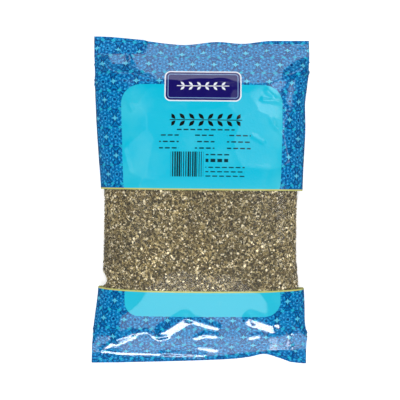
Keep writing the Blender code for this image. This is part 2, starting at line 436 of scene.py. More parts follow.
# By place across: how far along a roof starts, how low it is there, and how far its first slope goes on.
# Then its two slopes, in degrees.
TOP_SLOPE = {
    "edge": [(-107, 147), (-56, 147), (-55, 148), (-53, 157), (-52, 158), (110, 158)],
    "low": [(-107, 15), (-56, 15.3), (-55, 14.5), (-53, 8.2), (-52, 7.5), (17, 8), (45, 4.6), (73, 2.6),
            (110, 2)],
    "long": [(-107, 0), (-94, 1), (-89, 11), (-68, 13), (-56, 20), (-53, 31), (-42, 38), (-30, 44),
             (-20, 60), (76, 60), (84, 28), (110, 15)],
    "slopes": (35.5, 47.0),
}
BOTTOM_SLOPE = {
    "edge": [(-110, 154), (-94, 154.5), (-80, 156.5), (0, 157), (64, 152), (80, 152), (107, 150)],
    "low": [(-110, 1.6), (-94, 2.4), (-80, 4.4), (-60, 4.6), (0, 5.5), (64, 7.5), (80, 4), (95, 2),
            (107, 1.5)],
    "long": [(-110, 20), (0, 21), (64, 16), (107, 20)],
    "slopes": (34.0, 24.0),
}


def fitted(points):
    """The film with its creases at the measured outline, and its heights scaled to the front's profile."""
    half = points.shape[0] // 2
    y = points[..., 1]
    fitted_points = points.copy()
    left = np.interp(y, points[0, :, 1], points[0, :, 0])
    right = np.interp(y, points[half, :, 1], points[half, :, 0])
    new_left = through(LEFT_SIDE, y)
    new_right = through(RIGHT_SIDE, y)
    share = (points[..., 0] - left) / (right - left) * 2 - 1
    moved = np.where(share < 0, new_left - left, new_right - right)
    fitted_points[..., 0] += moved * np.abs(share) ** FIT_REACH
    front = points[half // 2]
    wanted = through(FRONT_PROFILE, front[:, 1]) / front[:, 2]
    level = np.maximum.accumulate(front[:, 1]) + np.arange(len(front)) * 1e-6
    fitted_points[..., 2] *= np.interp(y, level, wanted)
    return fitted_points


def drawn_flat(points):
    """The film with its ends drawn flat between the welds and the filling, which leaves long even slopes."""
    x = points[..., 0]
    half = points.shape[0] // 2
    front = (np.arange(points.shape[0]) <= half)[:, None]
    from_side = np.minimum(x - points[0, :, 0], points[half, :, 0] - x) / SLACK_SIDE
    from_middle = (np.abs(points[..., 1]) - SLACK_FROM) / SLACK_FADE
    from_weld = (flat_places(*points.shape[:2])[1].max() - WELD - np.abs(film_along)) / WELD
    taken = SLACK_TAKEN * eased(from_side) * eased(from_middle) * eased(from_weld)
    points[..., 2] += np.where(front, taken, 0)
    for end, shape in ((1, TOP_SLOPE), (-1, BOTTOM_SLOPE)):
        run = np.maximum(through(shape["edge"], x) - end * points[..., 1], 0)
        long = through(shape["long"], x)
        near, far = (math.tan(math.radians(slope)) for slope in shape["slopes"])
        roof = through(shape["low"], x) + near * np.minimum(run, long) + far * np.maximum(run - long, 0)
        points[..., 2] = np.minimum(points[..., 2], np.maximum(roof - np.where(front, 0, FILM_THICK), 0))
    return points


film = finer(fitted(film), SMOOTH_CURVE)
film_along = flat_places(*film.shape[:2])[1]
middle = film.shape[0] // 4
for row in range(0, film.shape[1], 20):
    print("along", round(film_along[row], 1), "lies at y", round(film[middle, row, 1], 1),
          "z", round(film[middle, row, 2], 1))

# %% [markdown]
# Small folds and facets
#
# A filled pouch never closes evenly: near the welds its spare film stands up in short ridges and sinks in
# short valleys, and these catch the light. The solver gives the broad ones. The sharp ones are pressed in
# after it, each along its own line, highest at the line and gone a few millimetres from it. Stiff film
# also breaks up into facets, so a shallow bowl is put around each of many scattered centres, and two bowls
# meet in a crease.

# %% Press the folds in
# Each fold: where its line starts and ends (x, y, x, y), how far it reaches, and how high it stands. A
# height below 0 is a valley.
FOLDS = [
    (-83, -139, -67, -132, 6, 1.7),
    (-68, -133, -54, -130, 3, 1.2),
    (-54, -130, -41, -137, 3, 1.1),
    (-41, -137, -35, -136, 3, 0.8),
    (-36, -130, -15, -116.5, 9, 3.8),
    (-13, -116.5, 16, -125.5, 5, 2.3),
    (-4, -136, 4, -133, 3.5, 0.9),
    (4, -133, 15, -133.5, 4, 1.2),
    (1, -147, 15, -149, 3.5, 0.75),
    (50, -117, 72, -124, 9, 3.8),
    (49, -112, 53, -122, 3, 1),
    (51, -136, 60, -133, 3.5, 0.9),
    (-99, -151.5, -37, -154.5, 3, 0.5),
    (-37, -153.5, 3, -155.5, 4.5, 1.9),
    (-101, -161, -99, -150, 2.5, 0.8),
    (-99, -150, -83, -139, 2.5, 0.6),
    (91, -164, 90, -134, 3, 2.6),
    (-72, 147, -69, 137, 3, -1.8),
    (-69, 137, -61, 128, 3, -1.8),
    (62, 99, 82, 97, 3.5, 1.1),
    (66, 108, 84, 92, 3.5, 1),
    (70, 80, 74, 72, 3, 1),
    (74, 72, 79, 67, 3, 1),
    (52, 63, 62, 57, 3, 0.9),
    (-76, 107, -67, 90, 3.5, 1),
    (-75, 50, -69, 28, 3.5, 0.8),
]
FOLD_SHARPNESS = 1.1
FREE_DEPTH = 6.0


def folded(points):
    """The film with its small folds: in both layers where they lie together, else in the front alone."""
    half = points.shape[0] // 2
    front = points[:half + 1]
    opposite = -np.arange(half + 1)
    apart = np.clip((front[..., 2] - points[opposite, :, 2]) / FREE_DEPTH, 0, 1)
    for x0, y0, x1, y1, reach, height in FOLDS:
        run = np.array([x1 - x0, y1 - y0])
        length = np.hypot(*run)
        away = front[..., :2] - (x0, y0)
        share = away @ run / length ** 2
        nearest = np.clip(share, 0, 1)[..., None] * run
        gap = np.hypot(*np.moveaxis(away - nearest, -1, 0))
        lift = height * np.clip(1 - gap / reach, 0, 1) ** FOLD_SHARPNESS
        points[opposite, :, 2] += lift * (1 - apart)
        front[1:-1, :, 2] += (lift * np.maximum(apart, 1 - apart))[1:-1]
    points[opposite, :, 2] = np.maximum(points[opposite, :, 2], 0)
    front[..., 2] = np.maximum(front[..., 2], points[opposite, :, 2])
    return points


# %% Break the film into facets
CRUMPLE_SEED = 5
CRUMPLE_COUNT = 150
CRUMPLE_HEIGHT = 0.9
CRUMPLE_ENDS = (112.0, 30.0)
CRUMPLE_EVERYWHERE = 0.42


def crumpled(points):
    """The film with shallow facets, strongest near its ends."""
    draw = np.random.default_rng(CRUMPLE_SEED)
    half = points.shape[0] // 2
    centres = draw.uniform((-WIDTH / 2, -LENGTH / 2), (WIDTH / 2, LENGTH / 2), (CRUMPLE_COUNT, 2))
    flat_x = (np.arange(points.shape[0]) / half - 0.5) * WIDTH
    folded_x = np.where(flat_x > WIDTH / 2, WIDTH - flat_x, flat_x)
    place = np.stack(np.meshgrid(folded_x, film_along, indexing="ij"), axis=-1)
    nearest = np.full(points.shape[:2], np.inf)
    for centre in centres:
        nearest = np.minimum(nearest, np.hypot(*np.moveaxis(place - centre, -1, 0)))
    thick = np.abs(points[..., 2] - np.concatenate([points[:1], points[:0:-1]])[..., 2])
    near_ends = eased((np.abs(points[..., 1]) - CRUMPLE_ENDS[0]) / CRUMPLE_ENDS[1])
    amount = np.maximum(near_ends, CRUMPLE_EVERYWHERE) * np.clip(thick / FREE_DEPTH, 0, 1)
    typical = math.sqrt(WIDTH * LENGTH / CRUMPLE_COUNT) / 2
    lift = CRUMPLE_HEIGHT * amount * ((nearest / typical) ** 2 - 1)
    side = np.where(np.arange(points.shape[0]) <= half, 1.0, -1.0)[:, None]
    points[..., 2] = np.maximum(points[..., 2] + side * lift, 0)
    return points


film = folded(drawn_flat(crumpled(film)))
print("folds:", len(FOLDS), "highest point:", round(film[..., 2].max(), 1))

# %% [markdown]
# The film's mesh
#
# The lattice becomes a mesh the plain way: a grid is laid with one vertex for each point, the vertices are
# lifted to their places, and the grid's two long sides are merged, which closes the tube. The two films of
# a weld lie on each other, so the back one is set lower by the film's thickness, and they meet at the very
# end. Each corner of each face keeps its place on the flat film as its UV, in metres, so that the print
# follows every fold. The two rows that bound the clear window are moved to its exact edges first.

# %% The window's edges
WINDOW_SEEN = (-91.0, 10.3)


def seen_along(seen):
    """The flat place, along the middle of the front, that the camera sees at this height in its picture."""
    front = film[film.shape[0] // 4]
    nearer = (CAMERA_HEIGHT - CREASE_HEIGHT) / (CAMERA_HEIGHT - front[:, 2] * MM)
    picture = np.maximum.accumulate(front[:, 1] * nearer)
    return float(np.interp(seen, picture, film_along))


def rows_at(wanted):
    """The film with its nearest rows moved to the wanted flat places, and where its rows then are."""
    along = film_along.copy()
    for place in wanted:
        along[np.argmin(np.abs(along - place))] = place
    row = np.interp(along, film_along, np.arange(len(film_along)))
    low = np.minimum(row.astype(int), len(along) - 2)
    share = (row - low)[None, :, None]
    return film[:, low] * (1 - share) + film[:, low + 1] * share, along


window_low, window_high = (seen_along(seen) for seen in WINDOW_SEEN)
film, film_along = rows_at((window_low, window_high))
window_rows = [int(np.argmin(np.abs(film_along - edge))) for edge in (window_low, window_high)]
print("window from", round(window_low, 1), "to", round(window_high, 1), "along the flat film")

# %% The closed film
MERGED_WITHIN = 0.00002


def film_sheet(columns, first_row, last_row, spot_at, across_at):
    """A sheet of film: spot_at gives a lattice point's place, across_at its place across the flat film."""
    mesh = bmesh.new()
    bmesh.ops.create_grid(mesh, x_segments=columns, y_segments=last_row - first_row, size=1.0)
    flat = mesh.loops.layers.uv.new("flat_film")
    place = {}
    for vertex in mesh.verts:
        column = round((vertex.co.x + 1) / 2 * columns)
        row = first_row + round((vertex.co.y + 1) / 2 * (last_row - first_row))
        place[vertex] = (column, row)
        vertex.co = Vector(spot_at(column, row)) * MM
    for face in mesh.faces:
        face.smooth = True
        face_rows = [place[vertex][1] for vertex in face.verts]
        if min(face_rows) >= window_rows[0] and max(face_rows) <= window_rows[1]:
            face.material_index = 1
        for loop in face.loops:
            column, row = place[loop.vert]
            loop[flat].uv = (across_at(column) * MM, film_along[row] * MM)
    return mesh


def film_mesh():
    """The closed film, with the two layers of each weld laid on each other."""
    columns, rows, _ = film.shape
    half = columns // 2
    back_of_weld = [row for row in weld_places(columns, rows) if row not in (0, rows - 1)]

    def spot_at(column, row):
        spot = film[column % columns, row].copy()
        if row in back_of_weld and column % columns > half:
            spot[2] -= FILM_THICK
        return spot

    mesh = film_sheet(columns, 0, rows - 1, spot_at, lambda column: (column / half - 0.5) * WIDTH)
    bmesh.ops.remove_doubles(mesh, verts=mesh.verts, dist=MERGED_WITHIN)
    return mesh


pouch = linked_object("film_pouch_printed", film_mesh())
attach(pouch, "root")
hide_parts("film_pouch")
print("film faces:", len(pouch.data.polygons))

# %% [markdown]
# Nodes in short calls
#
# Print is ink, so it belongs in the material and not in the mesh. A pattern of nodes is long when each one
# is placed by hand, and a few short calls keep it readable: one adds a math node, one mixes two colours,
# and one turns a distance into a mask with a soft edge.

# %% Helpers that build node patterns


def ink(code):
    """A colour written as six hex digits, as the linear values that shaders use."""
    values = [int(code[i:i + 2], 16) / 255 for i in (0, 2, 4)]
    return tuple(v / 12.92 if v <= 0.04045 else ((v + 0.055) / 1.055) ** 2.4 for v in values)


class Recipe:
    """Adds and joins the nodes of one material."""

    def __init__(self, name, roughness):
        self.material, self.shader = simple_material(name, (0.5, 0.5, 0.5), roughness)
        self.tree = self.material.node_tree

    def join(self, value, socket):
        """Links a socket's value on, or sets a plain number."""
        if isinstance(value, bpy.types.NodeSocket):
            self.tree.links.new(value, socket)
        else:
            socket.default_value = value

    def math(self, operation, *values, clamp=False):
        """One math node."""
        node = self.tree.nodes.new("ShaderNodeMath")
        node.operation = operation
        node.use_clamp = clamp
        for value, socket in zip(values, node.inputs):
            self.join(value, socket)
        return node.outputs[0]

    def below(self, value, edge, soft=0.25):
        """1 where value is below edge, 0 above it."""
        return self.math("MULTIPLY_ADD", value, -1 / soft, edge / soft + 0.5, clamp=True)

    def above(self, value, edge, soft=0.25):
        """1 where value is above edge, 0 below it."""
        return self.math("MULTIPLY_ADD", value, 1 / soft, 0.5 - edge / soft, clamp=True)

    def most(self, *masks):
        """The masks together: 1 where any of them is."""
        result = masks[0]
        for mask in masks[1:]:
            result = self.math("MAXIMUM", result, mask)
        return result

    def times(self, *values):
        """A product: of masks, it is 1 where all of them are."""
        result = values[0]
        for value in values[1:]:
            result = self.math("MULTIPLY", result, value)
        return result

    def distance(self, x, y):
        """How far a place is from the middle."""
        return self.math("SQRT", self.math("MULTIPLY_ADD", x, x, self.math("MULTIPLY", y, y)))

    def shifted(self, value, by):
        """A value with a plain number added."""
        return self.math("ADD", value, by)

    def away(self, value, place):
        """How far a value is from a place, on either side."""
        return self.math("ABSOLUTE", self.shifted(value, -place))

    def repeated(self, value, period, shift=0.0):
        """The signed distance to the nearest of many evenly spaced places."""
        return self.math("WRAP", self.shifted(value, shift), period / 2, -period / 2)

    def rounded_box(self, x, y, centre, half, radius):
        """Distance to a box with round corners: below 0 inside it."""
        out_x, out_y = (self.math("MAXIMUM", self.shifted(self.away(value, place), radius - reach), 0.0)
                        for value, place, reach in zip((x, y), centre, half))
        return self.shifted(self.distance(out_x, out_y), -radius)

    def in_box(self, x, y, centre, half):
        """Mask of a box with sharp corners."""
        return self.times(*(self.below(self.away(value, place), reach)
                            for value, place, reach in zip((x, y), centre, half)))

    def mix(self, mask, under, over):
        """One colour over another where the mask is 1."""
        node = self.tree.nodes.new("ShaderNodeMix")
        node.data_type = "RGBA"
        self.join(mask, node.inputs["Factor"])
        for colour, socket in ((under, node.inputs["A"]), (over, node.inputs["B"])):
            self.join(colour if isinstance(colour, bpy.types.NodeSocket) else (*colour, 1.0), socket)
        return node.outputs["Result"]

    def noise(self, where, scale, detail=2.0, roughness=0.5):
        """Smooth noise around one half, with this many waves to the metre."""
        node = self.tree.nodes.new("ShaderNodeTexNoise")
        self.join(where, node.inputs["Vector"])
        node.inputs["Scale"].default_value = scale
        node.inputs["Detail"].default_value = detail
        node.inputs["Roughness"].default_value = roughness
        return node.outputs["Fac"]

    def object_place(self):
        """The place on the object, in metres."""
        return self.tree.nodes.new("ShaderNodeTexCoord").outputs["Object"]

    def bump(self, height, strength, depth):
        """Tilts the surface's shading by a pattern of heights."""
        node = self.tree.nodes.new("ShaderNodeBump")
        self.join(height, node.inputs["Height"])
        node.inputs["Strength"].default_value = strength
        node.inputs["Distance"].default_value = depth
        self.tree.links.new(node.outputs["Normal"], self.shader.inputs["Normal"])

    def flat_millimetres(self):
        """Across and along places on the flat film, in millimetres."""
        map_node = self.tree.nodes.new("ShaderNodeUVMap")
        map_node.uv_map = "flat_film"
        split = self.tree.nodes.new("ShaderNodeSeparateXYZ")
        self.tree.links.new(map_node.outputs["UV"], split.inputs["Vector"])
        return [self.math("MULTIPLY", split.outputs[axis], 1 / MM) for axis in ("X", "Y")]


print("sky blue ink:", [round(value, 3) for value in ink("1F7FC4")])

# %% [markdown]
# The print
#
# The film is printed in a blue star lattice, with two cyan panels, a gold hairline at each edge of the clear
# window, a navy plate with a white sprig, a larger dark sprig, rows of short dashes and a panel of bars. An
# image could hold all that, but nodes stay sharp at any distance. The lattice is a triangular one, so it is
# two rectangular lattices, one shifted by half a cell each way: four-pointed stars, rings of dots between
# them, and small diamonds. Its colours are mixed in layers, from the ground up to a fine speckle.
# The cyan panels also carry painted sheen: they are paler at their sides and by the window.

# %% The star lattice
PITCH = 21.25
ROW_PAIR = PITCH * math.sqrt(3)
LATTICE_X = 1.2
LATTICE_TOP = LENGTH / 2 - 12.5
LATTICE_BOTTOM = -LENGTH / 2 + 32.0
STAR_REACH = 3.8
STAR_WAIST = -0.7
STAR_RIM = (4.7, 6.4)
# Circles of dots: (radius, how many, dot radius, turned by). Rings: (radius, half thickness).
DOTS_AROUND = ((4.8, 6, 1.0, 0.5), (8.1, 12, 0.95, 0.0))
RINGS = ((2.1, 0.3), (9.9, 0.35))
HUB = 0.95
DIAMOND_REACH, DIAMOND_WIDER = 1.8, 0.75
PRINT_GRAIN = 620.0
SPECKLE = 1050.0
SPECKLE_SHARE = 0.4


def lattice_masks(recipe, x, y):
    """Masks of the lattice's parts at a flat place: its dark parts, pale parts, diamonds and stars."""
    stars, pale, dark = [], [], []
    lower = recipe.below(y, 0.0)
    row_shift = recipe.math("MULTIPLY_ADD", lower, LATTICE_TOP - LATTICE_BOTTOM, -LATTICE_TOP)
    x = recipe.shifted(x, -LATTICE_X)
    y = recipe.math("ADD", y, row_shift)
    rim_inside, rim_outside = (math.sqrt(reach) for reach in STAR_RIM)
    for half_cell in (0, 1):
        dx = recipe.repeated(x, PITCH, half_cell * PITCH / 2)
        dy = recipe.repeated(y, ROW_PAIR, half_cell * ROW_PAIR / 2)
        root_x, root_y = (recipe.math("SQRT", recipe.math("ABSOLUTE", value)) for value in (dx, dy))
        star = recipe.math("ADD", root_x, root_y)
        waist = recipe.times(root_x, root_y, STAR_WAIST)
        stars.append(recipe.below(recipe.math("MULTIPLY_ADD", star, star, waist), STAR_REACH, 0.6))
        rim = recipe.away(star, (rim_inside + rim_outside) / 2)
        dark.append(recipe.below(rim, (rim_outside - rim_inside) / 2, 0.15))
        middle_x = recipe.repeated(x, PITCH, (1 - half_cell) * PITCH / 2)
        radius = recipe.distance(middle_x, dy)
        angle = recipe.math("ARCTAN2", dy, middle_x)
        for ring, count, dot, turned in DOTS_AROUND:
            step = 2 * math.pi / count
            swing = recipe.times(recipe.repeated(angle, step, turned * step), radius)
            spot = recipe.distance(swing, recipe.shifted(radius, -ring))
            pale.append(recipe.below(spot, dot, 0.4))
        for masks, (ring, half_thick) in zip((pale, dark), RINGS):
            masks.append(recipe.below(recipe.away(radius, ring), half_thick, 0.3))
        dark.append(recipe.below(radius, HUB, 0.3))
    half_x = recipe.math("ABSOLUTE", recipe.repeated(x, PITCH / 2, PITCH / 4))
    half_y = recipe.math("ABSOLUTE", recipe.repeated(y, ROW_PAIR / 2, ROW_PAIR / 4))
    diamonds = recipe.below(recipe.math("MULTIPLY_ADD", half_x, DIAMOND_WIDER, half_y), DIAMOND_REACH, 0.4)
    return recipe.most(*dark), recipe.most(*pale), diamonds, recipe.most(*stars)


def star_lattice(recipe, x, y):
    """Colour of the blue lattice at a flat place: its parts on a mottled ground, under a fine speckle."""
    grain, speckle = (recipe.above(recipe.noise(recipe.object_place(), scale, 1.0), 0.5, 0.2)
                      for scale in (PRINT_GRAIN, SPECKLE))
    colour = recipe.mix(grain, ink("00509A"), ink("069ADC"))
    masks = (*lattice_masks(recipe, x, y), recipe.times(speckle, SPECKLE_SHARE))
    for mask, code in zip(masks, ("003068", "38B6F4", "22C6EA", "5CD8FC", "004084")):
        colour = recipe.mix(mask, colour, ink(code))
    return colour


# %% Where the panels and the artwork lie
PANEL_SEEN = (-116.5, 116.0)
PANEL_CENTRE = 0.8
PLATE_HALF, PLATE_CORNER = (37.4, 15.5), 6.0
SPRIG_ON_PLATE = {"half_length": 24.0, "spacing": 8.0, "leaf": (2.9, 1.2), "lean": 0.75}
DARK_SPRIG = {"half_length": 33.5, "spacing": 9.2, "leaf": (4.3, 1.9), "lean": 0.8}
BARS_HALF = (16.0, 12.0)
# Each block of dashes: its middle (x, seen y), its half width and height, its spacing, and how thick.
DASHES = [
    (-31.3, 58.9, 9.5, 8, 6.2, 1.3),
    (3.4, 58.9, 9.5, 8, 6.2, 1.3),
    (36.4, 58.9, 11.5, 8, 6.2, 1.3),
    (4.2, 70.9, 28, 1.2, 6, 1.3),
    (16.6, 46, 12, 1.2, 6, 1.3),
    (15.4, 40.2, 11, 2.2, 6, 3.2),
    (23.4, 28.9, 19, 6, 4.2, 1.1),
]
panel_bottom, panel_top = (seen_along(seen) for seen in PANEL_SEEN)
# Each panel: its outer edge along the film, its middle across, its half width, and its corner radius.
PANELS = [(panel_top, PANEL_CENTRE, 77.9, 19.0), (panel_bottom, 2.6, 76.2, 15.0)]
PLATE, SPRIG_MIDDLE, BARS_MIDDLE = (
    (x, seen_along(seen)) for x, seen in ((1.2, 114.6), (4.3, 80.7), (-13.6, 36.4)))
print("the plate lies at", round(PLATE[1], 1), "along the flat film")

# %% A sprig
LEAF_OUT = 0.8
LEAF_POINTED = 0.55
STEM_HALF = 0.4
STEM_LONGER = 1.5


def sprig(recipe, x, y, centre, half_length, spacing, leaf, lean):
    """Mask of a level sprig: a stem with pairs of leaves that point outwards from its middle."""
    length = recipe.away(x, centre[0])
    side = recipe.away(y, centre[1])
    along = recipe.repeated(length, spacing, spacing / 2)
    out = recipe.shifted(side, -leaf[0] * LEAF_OUT)
    cos, sin = math.cos(lean), math.sin(lean)
    turn_x = recipe.math("MULTIPLY_ADD", along, cos, recipe.times(out, sin))
    turn_y = recipe.math("MULTIPLY_ADD", along, -sin, recipe.times(out, cos))
    pointed = recipe.math("MULTIPLY_ADD", recipe.math("ABSOLUTE", turn_x), LEAF_POINTED * leaf[1] / leaf[0],
                          recipe.math("ABSOLUTE", turn_y))
    oval = recipe.distance(recipe.math("DIVIDE", turn_x, leaf[0]), recipe.math("DIVIDE", pointed, leaf[1]))
    leaves = recipe.times(recipe.below(oval, 1.0, 0.12), recipe.below(length, half_length))
    stem = recipe.times(recipe.below(side, STEM_HALF), recipe.below(length, half_length + STEM_LONGER))
    return recipe.most(leaves, stem)


# %% Rows of dashes, and bars
DASH_RATE, DASH_SHIFT, DASH_SHARE = 0.95, 1.9, 0.62
BAR_PITCH = 2.15
BAR_SHARE = (0.34, 0.8)
BAR_MIXING = (12.99, 437.58)


def dashes(recipe, x, y, centre, half, spacing, thick):
    """Mask of level rows of short dashes: a sine wave along each row cuts its line up."""
    up = recipe.shifted(y, -centre[1])
    line = recipe.below(recipe.math("ABSOLUTE", recipe.repeated(up, spacing)), thick / 2)
    row = recipe.math("FLOOR", recipe.math("DIVIDE", recipe.shifted(up, spacing / 2), spacing))
    wave = recipe.math("SINE", recipe.math("MULTIPLY_ADD", row, DASH_SHIFT, recipe.times(x, DASH_RATE)))
    return recipe.times(recipe.in_box(x, y, centre, half), line, recipe.below(wave, DASH_SHARE, 0.5))


def bars(recipe, x, y, centre, half):
    """Mask of upright bars. A sine of each bar's number, made very long, gives it a width by chance."""
    along = recipe.math("DIVIDE", x, BAR_PITCH)
    wave = recipe.math("SINE", recipe.times(recipe.math("FLOOR", along), BAR_MIXING[0]))
    chance = recipe.math("FRACT", recipe.times(wave, BAR_MIXING[1]))
    share = recipe.math("MULTIPLY_ADD", chance, BAR_SHARE[1] - BAR_SHARE[0], BAR_SHARE[0])
    within = recipe.math("SUBTRACT", recipe.math("FRACT", along), share)
    return recipe.times(recipe.in_box(x, y, centre, half), recipe.below(within, 0.0, 0.1))


# %% All the ink together, with painted sheen on the cyan panels
# Painted sheen on the cyan panels: paler this far from their middle, over this fade, by this share.
PAINTED_SHEEN_BESIDE, PAINTED_SHEEN_FADE, PAINTED_SHEEN_SHARE = 62.0, 50.0, 0.24
CLOUD_SCALE, CLOUD_LESS = 28.0, 0.12
# Painted sheen by the window: the cyan is paler within this reach of it, by this share, and on all the lower
# panel.
PAINTED_SHEEN_BY_WINDOW_REACH, PAINTED_SHEEN_BY_WINDOW_SHARE = 7.0, 0.45
GOLD_LINE = 1.5
PLATE_RIM, PLATE_LINE = 1.2, 3.4


def panel_ink_with_painted_sheen(recipe, x, y):
    """Cyan in faint clouds, paler with painted sheen at its sides, by the window, on all the lower panel."""
    cloud = recipe.noise(recipe.object_place(), CLOUD_SCALE, 3.0)
    # Painted sheen at the panels' sides, where the side lamps shine in the film.
    painted_sheen_beside = recipe.above(recipe.away(x, PANEL_CENTRE), PAINTED_SHEEN_BESIDE, PAINTED_SHEEN_FADE)
    paler = recipe.math("MULTIPLY_ADD", painted_sheen_beside, PAINTED_SHEEN_SHARE, recipe.shifted(cloud, -CLOUD_LESS), clamp=True)
    # Painted sheen: the cyan is paler near the window and all over the lower panel.
    painted_sheen_by_window = recipe.times(recipe.below(y, window_high + PAINTED_SHEEN_BY_WINDOW_REACH, 2 * PAINTED_SHEEN_BY_WINDOW_REACH), PAINTED_SHEEN_BY_WINDOW_SHARE)
    # The paler cyan is faint clouds of ink, and painted sheen at the sides, by the window and on the lower
    # panel.
    return recipe.mix(recipe.most(recipe.above(paler, 0.6, 0.4), painted_sheen_by_window), ink("00C4E4"), ink("40CDE6"))


def print_with_painted_sheen(recipe, x, y):
    """Colour at a flat place: lattice, panels with painted sheen, hairlines and the artwork on the front."""
    colour = star_lattice(recipe, x, y)
    cyan = panel_ink_with_painted_sheen(recipe, x, y)
    for edge, centre, half, corner in PANELS:
        panel = recipe.rounded_box(x, y, (centre, edge / 2), (half, abs(edge) / 2), corner)
        colour = recipe.mix(recipe.below(panel, 0.0, 0.4), colour, cyan)
    gold = recipe.most(*(recipe.below(recipe.away(y, middle), GOLD_LINE / 2, 0.15)
                         for middle in (window_low - GOLD_LINE / 2, window_high + GOLD_LINE / 2)))
    plate = recipe.rounded_box(x, y, PLATE, PLATE_HALF, PLATE_CORNER)
    small = [dashes(recipe, x, y, (middle_x, seen_along(seen)), (half_x, half_y), spacing, thick)
             for middle_x, seen, half_x, half_y, spacing, thick in DASHES]
    small.append(bars(recipe, x, y, BARS_MIDDLE, BARS_HALF))
    for mask, code in ((gold, "CCCC74"),
                       (recipe.below(plate, 0.0), "F2F6FF"),
                       (recipe.below(plate, -PLATE_RIM), "150C66"),
                       (recipe.below(recipe.away(plate, -PLATE_LINE), 0.3, 0.3), "8FB6E6"),
                       (sprig(recipe, x, y, PLATE, **SPRIG_ON_PLATE), "F2F6FF"),
                       (sprig(recipe, x, y, SPRIG_MIDDLE, **DARK_SPRIG), "0A120E"),
                       (recipe.most(*small), "06323C")):
        colour = recipe.mix(mask, colour, ink(code))
    return colour


# %% [markdown]
# The finishes of the film
#
# Both finishes are thin glossy plastic. The printed one hides what is behind it. The clear one is nearly
# all see-through, and an index of 3 gives its one surface the shine of a film's two. Where the pouch is
# full, leaf bits press small pebbles into it, and a bump is enough for those, since they never show in the
# outline.

# %% The printed film and the clear window
FILM_ROUGHNESS, CLEAR_ROUGHNESS = 0.16, 0.12
CLEAR_SHARE = 0.07
CLEAR_INDEX = 3.0
PEBBLE = 420.0
PEBBLE_STRENGTH, PEBBLE_DEPTH = 0.35, 0.00022
PRESSED_REACH, PRESSED_FADE = 122.0, 20.0
PRESSED_LEAST = 0.15


def printed_film():
    """Ink under glossy film, pressed into small pebbles by the leaf bits behind it."""
    recipe = Recipe("printed_film_finish", FILM_ROUGHNESS)
    x, y = recipe.flat_millimetres()
    # The base colour is the print, with painted sheen on the cyan panels.
    recipe.join(print_with_painted_sheen(recipe, x, y), recipe.shader.inputs["Base Color"])
    pressed = recipe.below(recipe.math("ABSOLUTE", y), PRESSED_REACH, PRESSED_FADE)
    pebbles = recipe.noise(recipe.object_place(), PEBBLE, 1.0)
    recipe.bump(recipe.times(pebbles, recipe.shifted(pressed, PRESSED_LEAST)), PEBBLE_STRENGTH, PEBBLE_DEPTH)
    return recipe.material


def clear_film():
    """Clear film: mostly see-through, with the shine of its two faces."""
    recipe = Recipe("clear_film_finish", CLEAR_ROUGHNESS)
    recipe.shader.inputs["Base Color"].default_value = (*ink("E6E4DA"), 1.0)
    recipe.shader.inputs["Alpha"].default_value = CLEAR_SHARE
    recipe.shader.inputs["IOR"].default_value = CLEAR_INDEX
    recipe.bump(recipe.noise(recipe.object_place(), PEBBLE, 1.0), PEBBLE_STRENGTH, PEBBLE_DEPTH)
    return recipe.material


pouch.data.materials.append(printed_film())
pouch.data.materials.append(clear_film())
print("nodes in the print:", len(pouch.data.materials[0].node_tree.nodes))

# %% [markdown]
# The lap down the back
#
# A pillow pouch is one web whose long edges meet behind it. One edge laps over the other and is welded to
# it, which leaves a narrow second layer down the back. It follows the film's own lattice there, a little
# further out, and it is a strip with the same print, since both layers come off the same web.

# %% Lay the lap
LAP_WIDTH = 12.0
LAP_COLUMNS = 4
LAP_AWAY = 0.3


def outward_normals(points):
    """Unit normals of the film at each lattice point, pointing out of the pouch."""
    around = np.roll(points, -1, axis=0) - np.roll(points, 1, axis=0)
    along = np.gradient(points, axis=1)
    normals = np.cross(around, along)
    normals /= np.linalg.norm(normals, axis=2, keepdims=True)
    if normals[points.shape[0] // 4, points.shape[1] // 2, 2] < 0:
        normals = -normals
    return normals


normals = outward_normals(film)


def on_film(table, column, row):
    """Values of a table, with one row of values for each lattice point, at part columns and rows."""
    columns, rows = table.shape[:2]
    low_column = np.floor(column).astype(int)
    low_row = np.clip(np.floor(row).astype(int), 0, rows - 2)
    u = (column - low_column)[:, None]
    v = (row - low_row)[:, None]
    left = low_column % columns
    right = (low_column + 1) % columns
    first = table[left, low_row] * (1 - u) + table[right, low_row] * u
    second = table[left, low_row + 1] * (1 - u) + table[right, low_row + 1] * u
    return first * (1 - v) + second * v


def lap_mesh():
    """A narrow strip of film along the middle of the back."""
    columns, rows, _ = film.shape

    def side_of(strip):
        return (strip * 2 / LAP_COLUMNS - 1) * LAP_WIDTH / 2

    def spot_at(strip, row):
        column = np.array([columns * 3 / 4 + side_of(strip) * columns / (2 * WIDTH)])
        spot, out = (on_film(table, column, np.array([float(row)]))[0] for table in (film, normals))
        return spot + out * (LAP_AWAY + FILM_THICK)

    mesh = film_sheet(LAP_COLUMNS, 1, rows - 2, spot_at, lambda strip: WIDTH + side_of(strip))
    bmesh.ops.solidify(mesh, geom=mesh.faces[:], thickness=-FILM_THICK * MM)
    bmesh.ops.recalc_face_normals(mesh, faces=mesh.faces)
    return mesh


lap = linked_object("film_back_lap", lap_mesh())
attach(lap, "root")
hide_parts("film_pouch")
for material in pouch.data.materials:
    lap.data.materials.append(material)
print("lap faces:", len(lap.data.polygons))

# %% [markdown]
# The parsley inside
#
# Dried parsley is leaf rubbed to bits of one to three millimetres, with some pale stem. A pouch holds
# hundreds of thousands of bits, of which only the outer ones are seen. So the filling is a closed core
# that follows the film at a small distance, and a layer of single bits lies between the core and the
# film wherever the clear window shows them.

